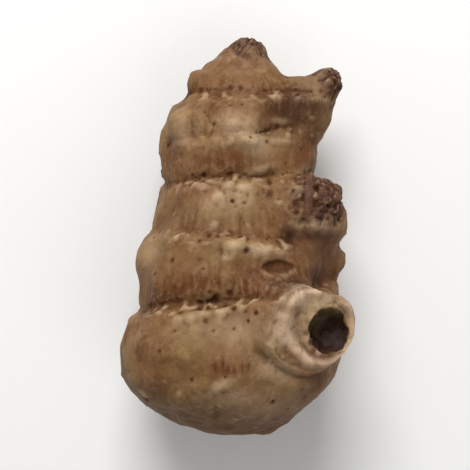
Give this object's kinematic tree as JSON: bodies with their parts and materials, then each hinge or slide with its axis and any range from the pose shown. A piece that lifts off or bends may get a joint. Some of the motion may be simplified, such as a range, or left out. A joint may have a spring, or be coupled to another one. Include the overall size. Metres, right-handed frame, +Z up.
{
  "type": "jerusalem artichoke",
  "caption": "Knobbly root vegetable with scale-leaf rings, side buds and a hollow stem scar, lying on its side.",
  "frame": {"origin": "middle of the tuber's footprint, on the surface that it lies on", "axes": "+Y runs along the tuber from its fat base end to its bud end, and +Z is up"},
  "size_m": [0.0402, 0.0714, 0.0363],
  "materials": {
    "skin": "thin matte corky skin, tan to red-brown, paler on its bumps and darker in its rings"
  },
  "bodies": {
    "root": {"tuber": "skin"}
  },
  "joints": []
}
